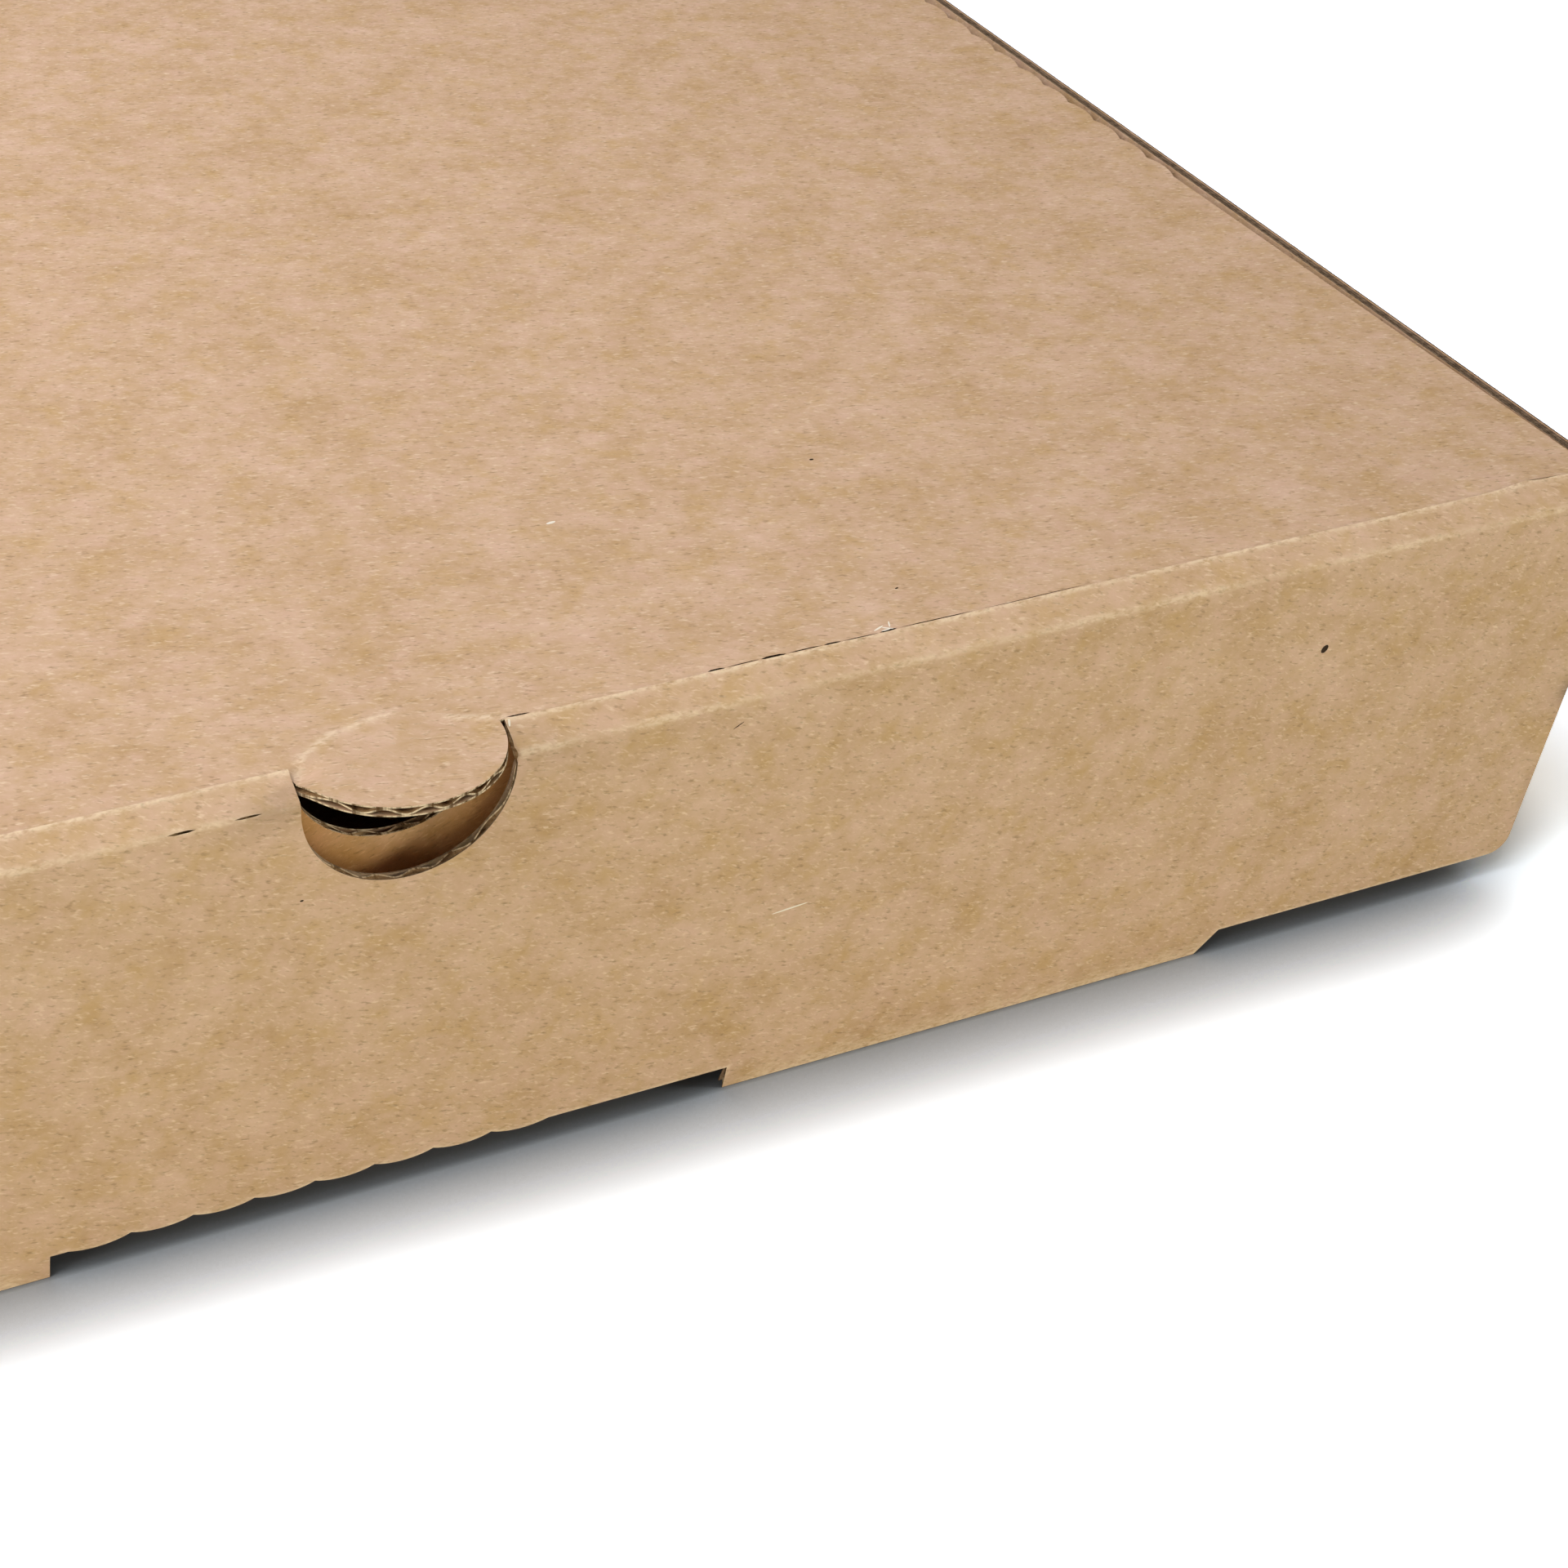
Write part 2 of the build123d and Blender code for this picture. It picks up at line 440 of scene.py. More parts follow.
# Lid: the sheet's v runs back from the front crease
lid_depth = rear_y - crease_y
crease_rows = np.array([0.1, 0.2, 0.32, 0.46, 0.64, 0.9, 1.4, 2.2])
left_bend = [(-9.1, -0.7), (-7.6, 1.5), (-4.7, 3.4), (-0.7, 4.4), (1.7, 4.7)]
tab_bends = [left_bend, [(5.4, 2.2), (9.9, 0.4)]]
# Splits along the front crease: where each starts and ends, and its width
crease_slits = [
    (10.2, 12.4, 0.22),
    (29.2, 30.9, 0.4),
    (31.0, 34.3, 0.14),
    (34.4, 36.9, 0.46),
    (37.0, 40.5, 0.16),
    (40.6, 42.3, 0.32),
    (42.4, 46.1, 0.14),
    (46.2, 48.0, 0.3),
    (48.1, 56.0, 0.14),
    (57.0, 68.0, 0.1),
]
slit_v = 0.26

# Loose fibres where the crease has torn: middle, length, width and turn
torn_fibres = [
    (46.4, 0.9, 1.2, 0.2, 20),
    (47.2, 0.6, 1.1, 0.18, -35),
    (47.6, 1.1, 0.9, 0.16, 70),
    (46.9, 0.4, 0.9, 0.2, 0),
]


def from_bends(u, v):
    """Distance to the faint lines along which the lid has bent behind the thumb tab."""
    nearest = np.full(len(u), np.inf)
    for line in tab_bends:
        for (u0, v0), (u1, v1) in zip(line, line[1:]):
            du, dv = u1 - u0, v1 - v0
            share = np.clip(((u - u0) * du + (v - v0) * dv) / (du * du + dv * dv), 0, 1)
            nearest = np.minimum(nearest, np.hypot(u - u0 - share * du, v - v0 - share * dv))
    return nearest


def place_lid(u, v, depth):
    """Places points of the lid: pressed along the crease and cuts, with the tab's left corner drooping."""
    front = bump(np.maximum(v, 0), 5.0)
    beside_tab = np.abs(u) > tab_radius
    y = crease_y + v + crease_shift(u) * front * beside_tab
    rear = np.clip(v - (lid_depth - hinge_round), 0, hinge_round)
    rounding = hinge_round - np.sqrt(np.maximum(hinge_round**2 - rear**2, 0))
    to_cut = np.where(v < 0, tab_radius - np.hypot(u, v), np.hypot(tab_radius - np.abs(u), v))
    dip = (0.1 + 0.04 * wander(u, 3.0, 4)) * bump(v - 0.5, 0.7) * beside_tab
    bend = 0.06 * bump(from_bends(u, v), 0.6)
    lift = 0.05 * ripple(u, v, 38.0, 3) * np.clip(v / 20, 0, 1)
    droop = 0.8 * bump(np.hypot(u + tab_radius, v + 0.6), 2.2) * np.clip(0.6 - v, 0, 1)
    z = box_height - face_drop + lift + bend - dip - droop
    z = z - depth * pressed(to_cut) - rounding * (depth < liner * 1.5)
    return np.column_stack([np.broadcast_to(u, len(y)), y, z])


def lid_wear(u, v):
    """Painted highlight: pale lines along the faint ridges where the lid has bent."""
    return bump(from_bends(u, v), 0.36)


def lid_outline():
    """Outline of the lid with the thumb tab and the wave-cut sides."""
    turn = arc((0, 0), tab_radius, 180, 360, 72)
    wave_start, wave_end = lid_wave_start - crease_y, lid_wave_end - crease_y
    cusps = (lid_half_at_wave_start, wave_start), (lid_half_at_wave_end, wave_end)
    scallops = waves(*cusps, lid_wave_count, wave_depth)
    side = np.concatenate([scallops, [cusps[1], (lid_half_rear, lid_depth)]])
    mirror = np.array([-1, 1])
    corner = np.array([(lid_half_front, 0)])
    return np.concatenate([corner * mirror, turn, corner, side, side[::-1] * mirror])


def lid_board():
    shape = Shape()
    outline = lid_outline()
    rows = np.concatenate([crease_rows, lid_depth - crease_rows])
    near_tab = [(-11.0, 11.0, -9.0, 6.5, 0.45)]
    slits = [slit(start, end, slit_v, width) for start, end, width in crease_slits]
    loops = [outline, *slits]
    # The splits' rims take the dark finish: painted shade inside each split
    add_liner(shape, loops, place_lid, 0.0, liner, rows, lid_wear, fine=near_tab, slit_finish=DARK_SPECK_AND_SHADE)
    add_liner(shape, [outline], place_lid, board - liner, board, [], plain, fine=near_tab)
    turn = np.linspace(-90, 90, 150)
    tab = tab_radius * np.sin(np.radians(turn))
    side = np.arange(tab_radius + flute_step, lid_half_rear - flute_step, flute_step)
    across = np.concatenate([-side[::-1], tab, side])
    low = np.where(np.abs(across) < tab_radius, -np.sqrt(np.maximum(tab_radius**2 - across**2, 0)), 0.4)
    high = np.full(len(across), lid_depth - hinge_round)
    add_flutes(shape, across, low, high, np.append(np.arange(-9.0, 3.0, 0.5), 100.0), place_lid)
    add_flecks(shape, place_lid, [(55.2, 31.5, 0.45, 0.3, 0), (51.2, 6.4, 0.4, 0.2, 20)], DARK_SPECK_AND_SHADE)
    add_flecks(shape, place_lid, [(27.0, 29.8, 1.0, 0.4, 10), *torn_fibres], PALE)
    return shape


# Front flap: the sheet's v runs down from the front crease
flap_fold = Fold(
    [
        (crease_y, box_height),
        (crease_y - bevel_out, low_crease_z),
        (foot_y, foot_z),
        (foot_y + lock_curl, lock_tip_z),
    ],
    crease_round,
    crush=0.55,
)
low_crease = flap_fold.middles[0]


def place_flap(u, v, depth):
    """Places points of the flap: pressed along its cuts and wandering at its two creases."""
    height = flap_fold.at(-v, 0.0)[1]
    to_hole = np.hypot(u - hole_x, np.minimum(height - hole_z, 0)) - hole_radius
    to_foot = v - foot_edge(u)
    y, z = flap_fold.at(-v, depth * pressed(np.clip(np.minimum(to_hole, to_foot), 0, None)))
    near = bump(v, 1.6)
    shift = crease_shift(u) * near * (np.abs(u) > tab_radius)
    y = np.where(v > -low_crease / 2, np.minimum(y, crease_y), y) + shift
    away = np.abs(-v - low_crease)
    y = y + 0.05 * wander(u, 7.0, 5) * bump(away, 2.5) + 0.02 * wander(u, 1.2, 6) * bump(away, 0.8)
    bead = (0.05 + 0.035 * wander(u, 1.7, 7)) * bump(v + 0.25, 0.3)
    z = z - face_drop * near + bead * (depth < liner)
    return np.column_stack([np.broadcast_to(u, len(y)), y, z])


def flap_wear(u, v):
    """Pale crushed paper along both creases, and a pale line along the foot's cut edge."""
    upper = bump(v + 0.15, 0.34) * np.clip(0.85 + 0.3 * wander(u, 5.0, 11), 0, 1)
    lower = bump(-v - low_crease, 0.42) * np.clip(0.55 + 0.4 * wander(u, 6.0, 21), 0, 1)
    foot = bump(v - foot_edge(u), 0.25) * 0.9
    return np.clip(upper + lower + foot, 0, 1)


def down(z):
    """The sheet's v on the flap at a height."""
    return -flap_fold.falling(z)


def hole_edge(u):
    """The sheet's v at the thumb hole's lower edge, and at the crease beside the hole."""
    inside = np.abs(u - hole_x) < hole_radius
    z = hole_z - np.sqrt(np.maximum(hole_radius**2 - (u - hole_x) ** 2, 0))
    return np.where(inside, down(z), 0.0)


def foot_edge(u):
    """The sheet's v at the flap's lower edge."""
    wave = (foot_wave_end - foot_wave_start) / foot_wave_count
    share = ((u - foot_wave_start) / wave) % 1
    waved = (u > foot_wave_start) & (u < foot_wave_end)
    from_ends = np.minimum(u - foot_wave_start, foot_wave_end - u)
    rise = foot_wave_rise * np.clip(from_ends / wave, 0, 1)
    z = foot_z + np.where(waved, rise + wave_depth * (2 * share - 1) ** 2 - wave_depth, 0.0)
    slant = (np.abs(u) - lock_outer) / (lock_shoulder - lock_outer)
    tab = lock_tip_z + (foot_z - lock_tip_z) * np.clip(slant, 0, 1)
    return down(np.where((np.abs(u) > lock_inner) & (np.abs(u) < lock_shoulder), tab, z))


def flap_outline():
    """Outline of the flap with the thumb hole, the tapered ends, the locking tabs and the wave-cut foot."""
    foot_centre_x = foot_half - foot_corner_round * math.cos(math.radians(flap_taper))
    foot_centre = foot_centre_x, foot_z + foot_corner_round
    foot_turn = arc(foot_centre, foot_corner_round, -flap_taper, -90, 10)
    ear_centre = ear_half - ear_round * 1.1, ear_z - ear_round
    ear_turn = arc(ear_centre, ear_round, 90, -flap_taper, 8)
    right = np.concatenate([[(lid_half_front, ear_z)], ear_turn, foot_turn])
    right = np.column_stack([right[:, 0], down(right[:, 1])])
    lock = [(lock_shoulder, down(foot_z)), (lock_outer, down(lock_tip_z))]
    lock += [(lock_inner, down(lock_tip_z)), (lock_inner, down(foot_z))]
    lock = np.array(lock)
    wave_u = np.linspace(foot_wave_end, foot_wave_start, 12 * foot_wave_count + 1)
    inside_wave = np.clip(wave_u, foot_wave_start + 1e-3, foot_wave_end - 1e-3)
    wave = np.column_stack([wave_u, foot_edge(inside_wave)])
    hole_turn = arc((hole_x, hole_z), hole_radius, 180, 360, 64)
    hole = np.column_stack([hole_turn[:, 0], down(hole_turn[:, 1])])
    mirror = np.array([-1, 1])
    return np.concatenate(
        [
            [(hole_x + hole_radius, 0), (lid_half_front, 0)],
            right,
            lock,
            wave,
            lock[::-1] * mirror,
            right[::-1] * mirror,
            [(-lid_half_front, 0), (hole_x - hole_radius, 0)],
            hole,
        ]
    )


def flap_board():
    shape = Shape()
    outline = flap_outline()
    foot = -flap_fold.middles[1]
    steps = np.concatenate(
        [-crease_rows, -low_crease - crease_rows, -low_crease + crease_rows[:5], foot + crease_rows]
    )
    rows = np.append(steps, foot)
    slits = [slit(-20.95, -18.5, -low_crease, 0.2), slit(-15.2, -12.8, -low_crease, 0.16)]
    shoulders = [(side * hole_radius - 1, side * hole_radius + 1.4, -6.5, 0.0, 0.2) for side in (-1, 1)]
    # The splits' rims take the dark finish: painted shade inside each split
    add_liner(
        shape, [outline, *slits], place_flap, 0.0, liner, rows, flap_wear,
        fine=shoulders, rim_finish=SHADED_RAW, slit_finish=DARK_SPECK_AND_SHADE,
    )
    add_liner(shape, [outline], place_flap, board - liner, board, rows, plain, row_step=2.4, rim_finish=SHADED_RAW)
    turn = np.linspace(-90, 90, 150)
    hole = hole_x + hole_radius * np.sin(np.radians(turn))
    right = np.arange(hole_x + hole_radius + flute_step, foot_half - 3, flute_step)
    left = np.arange(hole_x - hole_radius - flute_step, 3 - foot_half, -flute_step)
    across = np.concatenate([left[::-1], hole, right])
    add_flutes(shape, across, foot_edge(across), hole_edge(across), steps, place_flap)
    specks = [
        (94.25, down(37.3), 1.0, 0.7, 60),
        (30.9, down(45.1), 1.2, 0.1, 30),
        (-9.5, down(37.25), 0.35, 0.2, 0),
    ]
    add_flecks(shape, place_flap, specks, DARK_SPECK_AND_SHADE)
    add_flecks(shape, place_flap, [(38.1, down(21.7), 3.8, 0.2, 5), (10.2, -0.5, 0.7, 0.2, 75)], PALE)
    return shape


# Tray: one sheet for the front wall, base and rear wall, and one for each side wall with its corner flaps
end_fold = Fold(
    [(-rear_y, wall_top), (-base_half_y, 0), (base_half_y, 0), (rear_y, wall_top)], fold_radius
)
side_fold = Fold([(base_edge, 0), (base_half_x, 0), (top_half, side_top)], fold_radius)
fold_steps = np.linspace(-1.6, 1.6, 9)


def place_ends(u, v, depth):
    """Places points of the front wall, base and rear wall; v starts at the top of the front wall."""
    height = end_fold.at(v, 0.0)[1]
    to_notch = np.hypot(u, height - notch_z) - notch_radius
    to_top = np.where(v < end_fold.length / 2, v, 100.0)
    y, z = end_fold.at(v, depth * pressed(np.clip(np.minimum(to_notch, to_top), 0, None)))
    return np.column_stack([np.broadcast_to(u, len(y)), y, z])


def end_outline():
    """Outline of the front wall, base and rear wall, with the thumb notch."""
    notch_half = math.sqrt(notch_radius**2 - (notch_z - wall_top) ** 2)
    drop = math.degrees(math.asin((notch_z - wall_top) / notch_radius))
    notch = arc((0, notch_z), notch_radius, 180 + drop, 360 - drop, 48)
    notch = np.column_stack([notch[:, 0], end_fold.falling(notch[:, 1])])
    top = base_half_x + wall_top * run - panel_gap
    foot = base_half_x + relief * run - panel_gap
    front = end_fold.falling(relief)
    rear = end_fold.rising(relief)
    right = [(top, 0), (foot, front), (base_edge, front)]
    right += [(base_edge, rear), (foot, rear), (top, end_fold.length)]
    right = np.array(right)
    left = right[::-1] * np.array([-1, 1])
    return np.concatenate([[(-notch_half, 0)], notch[1:-1], [(notch_half, 0)], right, left])


def slot_outline(side):
    """One slot for a locking tab, at the foot of the front wall."""
    middle = side * slot_middle
    right = arc((middle + slot_half - slot_round, slot_z), slot_round, -90, 90, 9)
    left = arc((middle - slot_half + slot_round, slot_z), slot_round, 90, 270, 9)
    turn = np.concatenate([right, left])
    return np.column_stack([turn[:, 0], end_fold.falling(turn[:, 1])])


def place_side(side):
    """Places points of a side wall: w runs along it and round the corners, v up from the base's edge."""

    def place(w, v, depth):
        w, v, depth = np.broadcast_arrays(*(np.asarray(value, float) for value in (w, v, depth)))
        x, z = side_fold.at(v, depth)
        inset = depth * layer / board
        straight = base_half_y + z * run - layer - corner_radius
        past = np.maximum(np.abs(w) - straight, 0)
        quarter = corner_radius * math.pi / 2
        angle = np.minimum(past / quarter, 1) * math.pi / 2
        bend = corner_radius - inset
        y = np.minimum(np.abs(w), straight) + bend * np.sin(angle)
        x = x - bend * (1 - np.cos(angle)) - np.maximum(past - quarter, 0)
        return np.column_stack([side * x, np.sign(w) * y, z])

    return place


def side_reach(z):
    """How far a side wall and its corner flap reach along the sheet at a height."""
    z = np.asarray(z, float)
    straight = base_half_y + z * run - layer - corner_radius
    flap = straight + corner_radius * math.pi / 2 + base_half_x + z * run - corner_radius - corner_flap_end
    low = np.clip(1 - (z - relief) / corner_flap_chamfer, 0, 1)
    high = np.clip(1 - (corner_flap_top - z) / corner_flap_chamfer, 0, 1)
    flap = flap - corner_flap_chamfer * np.maximum(low, high)
    flap = np.where(z > corner_flap_top, straight + 1.0, flap)
    return np.where(z < relief, base_half_y - layer - corner_radius, flap)


def side_outline():
    """Outline of a side wall with its two corner flaps; the flaps start and end in a sharp step."""
    step = 0.01
    heights = [0, relief - step, relief, relief + corner_flap_chamfer]
    heights += [corner_flap_top - corner_flap_chamfer, corner_flap_top, corner_flap_top + step, side_top]
    heights = np.array(heights)
    lengths = np.where(heights > 0, side_fold.rising(heights), 0.0)
    right = np.column_stack([side_reach(heights), lengths])
    return np.concatenate([right, right[::-1] * np.array([-1, 1])])


def add_top_edge(shape, place):
    """The fluted sheet's cut edge between the liners along the top of a side wall, dark with painted shade.
    """
    reach = side_reach(side_top)
    w = np.linspace(-reach, reach, 120)
    v = np.full(len(w), side_fold.rising(side_top) - 0.12)
    points = np.concatenate([place(w, v, liner), place(w, v, board - liner)])
    k = np.arange(len(w) - 1)
    faces = np.column_stack([k, k + 1, k + 1 + len(w), k + len(w)])
    sheet = np.column_stack([w, v])
    shape.add(points, faces, np.concatenate([sheet, sheet + (0, 1)]), SHADED_RAW)


def shade_behind_flap(u, v):
    """Marks the upper part of the front wall, which the closed flap shelters, with negative values: there
    the paper gets painted shade.
    """
    return -np.clip((30.0 - v) / 5.0, 0, 1)


def add_end_panels(shape):
    """Front wall, base and rear wall, with flutes in the front wall, where its notch and top show them."""
    folds = np.concatenate([middle + fold_steps for middle in end_fold.middles])
    loops = [end_outline(), slot_outline(1), slot_outline(-1)]
    add_liner(shape, loops, place_ends, 0.0, liner, folds, shade_behind_flap, row_step=1.6)
    add_liner(shape, loops, place_ends, board - liner, board, folds, plain, row_step=1.6)
    turn = np.linspace(-90, 90, 120)
    notch = notch_radius * np.sin(np.radians(turn))
    side = np.arange(notch_radius + flute_step, base_half_x, flute_step)
    across = np.concatenate([-side[::-1], notch, side])
    edge = notch_z - np.sqrt(np.maximum(notch_radius**2 - across**2, 0))
    top = np.where(np.abs(across) < notch_radius, np.minimum(edge, wall_top), wall_top)
    low = end_fold.falling(top)
    above_slot = np.abs(np.abs(across) - slot_middle) < slot_half
    high = end_fold.falling(np.where(above_slot, slot_z + slot_round, relief))
    add_flutes(shape, across, low, high, np.array([12.0]), place_ends)


def add_side_wall(shape, hand):
    """One side wall with its two corner flaps; its flutes run along it and round the corners."""
    place = place_side(hand)
    loops = [side_outline()]
    folds = side_fold.middles[0] + fold_steps
    add_liner(shape, loops, place, 0.0, liner, folds, plain, 2.5, 2.5, rim_finish=SHADED_RAW)
    add_liner(shape, loops, place, board - liner, board, folds, plain, 2.5, 2.5, rim_finish=SHADED_RAW)
    corner = base_half_y - layer - corner_radius
    turns = np.concatenate([np.linspace(corner - 1, corner + 10, 18), [150.0]])
    rows = np.concatenate([-turns[::-1], [0.0], turns])
    heights = np.linspace(relief + 0.4, side_top - 0.02, 90)
    reach = side_reach(heights)
    add_flutes(shape, side_fold.rising(heights), -reach, reach, rows, place, True, SHADED_RAW, SHADED_RAW)
    add_top_edge(shape, place)


def tray_board():
    shape = Shape()
    add_end_panels(shape)
    for hand in (1, -1):
        add_side_wall(shape, hand)
    return shape


# Creases that turn: a strip of liner lies over each, bent round it as the box stands closed
over = 0.03
rear_outside = [(place_ends, end_fold.length - s, -over, lid_depth + 0.3 + s) for s in (0.8, 0.4, 0.1)]
rear_outside += [
    (place_lid, lid_depth - s, -over, lid_depth - s)
    for s in (-over, 0.03, 0.12, 0.3, 0.5, 0.75, 1.0, 1.3, 1.8, 2.6)
]
rear_inside = [
    (place_ends, end_fold.length - s, board + over, lid_depth + s) for s in (1.6, 1.0, 0.6, 0.3, 0.1, 0)
]
rear_inside += [
    (place_lid, lid_depth - s, board + over, lid_depth - s) for s in (1.55, 1.7, 1.9, 2.2, 2.6, 3.2)
]
front_inside = [(place_lid, s, board + over, s) for s in (3.0, 2.0, 1.5, 1.2, 0.9, 0.6, 0.3, 0)]
front_inside += [(place_flap, -s, board + over, 0.9 - s) for s in (0.95, 1.2, 1.5, 1.9, 2.3, 2.7)]
beside_hole = (-124.6, -10.2), (10.4, 124.6)


def crease_strip(rows, spans, facing):
    """A strip of liner through rows of points: each row has a place, its v and depth, and v on the sheet."""
    shape = Shape()
    for left, right in spans:
        u = np.linspace(left, right, int((right - left) / 2) + 1)
        points = np.concatenate([place(u, np.full(len(u), v), depth) for place, v, depth, _ in rows])
        sheet = np.concatenate([np.column_stack([u, np.full(len(u), row[3])]) for row in rows])
        i, j = np.meshgrid(np.arange(len(rows) - 1), np.arange(len(u) - 1), indexing="ij")
        corner = (i * len(u) + j).ravel()
        quads = np.column_stack([corner, corner + 1, corner + 1 + len(u), corner + len(u)])
        shape.add(points, quads[:, ::facing], sheet, SHEET)
    return shape


# Materials
class Nodes:
    """A material's node tree with short calls for the nodes used here."""

    def __init__(self, name):
        self.material = bpy.data.materials.new(name)
        self.material.use_nodes = True
        self.tree = self.material.node_tree
        self.shader = self.tree.nodes["Principled BSDF"]

    def new(self, kind, **settings):
        node = self.tree.nodes.new(kind)
        for key, value in settings.items():
            setattr(node, key, value)
        return node

    def link(self, source, target):
        self.tree.links.new(source, target)

    def math(self, operation, a, b):
        node = self.new("ShaderNodeMath", operation=operation)
        for socket, value in zip(node.inputs, (a, b)):
            if isinstance(value, (int, float)):
                socket.default_value = value
            else:
                self.link(value, socket)
        return node.outputs[0]

    def sheet(self, turn, stretch):
        """The place on the flat sheet, in millimetres, turned and stretched along the fibres."""
        place = self.new("ShaderNodeUVMap", uv_map="sheet")
        mapping = self.new("ShaderNodeMapping", vector_type="TEXTURE")
        mapping.inputs["Rotation"].default_value[2] = math.radians(turn)
        mapping.inputs["Scale"].default_value = (stretch * MM, MM, MM)
        self.link(place.outputs["UV"], mapping.inputs["Vector"])
        return mapping.outputs["Vector"]

    def noise(self, vector, size, detail=2.0, roughness=0.5):
        node = self.new("ShaderNodeTexNoise", noise_dimensions="2D")
        node.inputs["Scale"].default_value = 1 / size
        node.inputs["Detail"].default_value = detail
        node.inputs["Roughness"].default_value = roughness
        self.link(vector, node.inputs["Vector"])
        return node.outputs["Fac"]

    def ramp(self, value, low, high):
        node = self.new("ShaderNodeMapRange", clamp=True)
        node.inputs["From Min"].default_value = low
        node.inputs["From Max"].default_value = high
        self.link(value, node.inputs["Value"])
        return node.outputs["Result"]

    def mix(self, factor, a, b, blend="MIX"):
        node = self.new("ShaderNodeMix", data_type="RGBA", blend_type=blend)
        self.link(factor, node.inputs[0])
        for socket, value in zip((node.inputs[6], node.inputs[7]), (a, b)):
            if isinstance(value, tuple):
                socket.default_value = (*value, 1)
            else:
                self.link(value, socket)
        return node.outputs[2]

    def cover(self, colour, over, mask, share):
        """A colour with another laid over it where a mask says, up to a share."""
        return self.mix(self.math("MULTIPLY", mask, share), colour, over)


def paper_colour(nodes, dark, light, pale):
    """Cloudy kraft tone with short fibres, both paler and darker, and the height of its rough surface."""
    cloud = nodes.noise(nodes.sheet(0, 1.0), 9.0, 3.0, 0.6)
    mottle = nodes.noise(nodes.sheet(-18, 1.3), 2.0, 3.0, 0.7)
    tone = nodes.math("ADD", nodes.math("MULTIPLY", cloud, 0.5), nodes.math("MULTIPLY", mottle, 0.5))
    colour = nodes.mix(nodes.ramp(tone, 0.17, 0.83), dark, light)
    hue = nodes.noise(nodes.sheet(40, 1.0), 4.0, 3.0, 0.6)
    rosy = tuple(value * gain for value, gain in zip(light, (0.97, 0.91, 0.98)))
    olive = tuple(value * gain for value, gain in zip(dark, (1.14, 1.17, 1.0)))
    colour = nodes.cover(colour, rosy, nodes.ramp(hue, 0.52, 0.75), 0.34)
    colour = nodes.cover(colour, olive, nodes.ramp(hue, 0.48, 0.25), 0.45)
    fibre = nodes.noise(nodes.sheet(-14, 3.0), 0.38, 2.0, 0.55)
    colour = nodes.cover(colour, pale, nodes.ramp(fibre, 0.60, 0.78), 0.5)
    stray = nodes.noise(nodes.sheet(-40, 3.4), 0.34, 2.0, 0.55)
    colour = nodes.cover(colour, pale, nodes.ramp(stray, 0.63, 0.79), 0.4)
    shade = nodes.noise(nodes.sheet(-18, 2.8), 0.4, 2.0, 0.6)
    shadow = tuple(0.6 * value for value in dark)
    colour = nodes.cover(colour, shadow, nodes.ramp(shade, 0.60, 0.80), 0.6)
    return colour, nodes.math("ADD", fibre, nodes.math("MULTIPLY", mottle, 1.6))


def paint_hollow_shade(nodes, colour, wear):
    """Painted shade: darkens recesses found by occlusion, and warms them, as bounced light, on faces marked
    sheltered.
    """
    openness = nodes.new("ShaderNodeAmbientOcclusion", samples=8)
    openness.inputs["Distance"].default_value = 10 * MM
    sheltered = nodes.ramp(wear, 0.0, -1.0)
    painted_bounce_tint = nodes.math("MULTIPLY", nodes.ramp(openness.outputs["AO"], 0.9, 0.55), sheltered)
    colour = nodes.mix(painted_bounce_tint, colour, (1.22, 0.99, 0.62), "MULTIPLY")
    painted_shade = nodes.ramp(openness.outputs["AO"], 0.45, 0.2)
    return nodes.mix(painted_shade, colour, (0.46, 0.38, 0.34), "MULTIPLY")


def kraft(name, dark, light, pale, hollow=False):
    """Kraft paper, paler where marked: crushed creases, and painted highlight on the lid's bend lines; in a
    hollow, painted shade.
    """
    nodes = Nodes(name)
    colour, height = paper_colour(nodes, dark, light, pale)
    wear = nodes.new("ShaderNodeAttribute", attribute_name="wear").outputs["Fac"]
    ragged = nodes.noise(nodes.sheet(0, 2.0), 0.5, 2.0, 0.7)
    pale_wear_and_highlight = nodes.math("MULTIPLY", wear, nodes.ramp(ragged, 0.3, 0.6))
    # Pale over the marks: crushed creases are real wear, the lid's bend lines are a painted highlight
    colour = nodes.cover(colour, pale, pale_wear_and_highlight, 0.8)
    if hollow:
        colour = paint_hollow_shade(nodes, colour, wear)
    nodes.link(colour, nodes.shader.inputs["Base Color"])
    nodes.shader.inputs["Roughness"].default_value = 0.82
    nodes.shader.inputs["Specular IOR Level"].default_value = 0.22
    rough = nodes.new("ShaderNodeBump")
    rough.inputs["Strength"].default_value = 0.25
    rough.inputs["Distance"].default_value = 0.06 * MM
    nodes.link(height, rough.inputs["Height"])
    nodes.link(rough.outputs["Normal"], nodes.shader.inputs["Normal"])
    return nodes.material


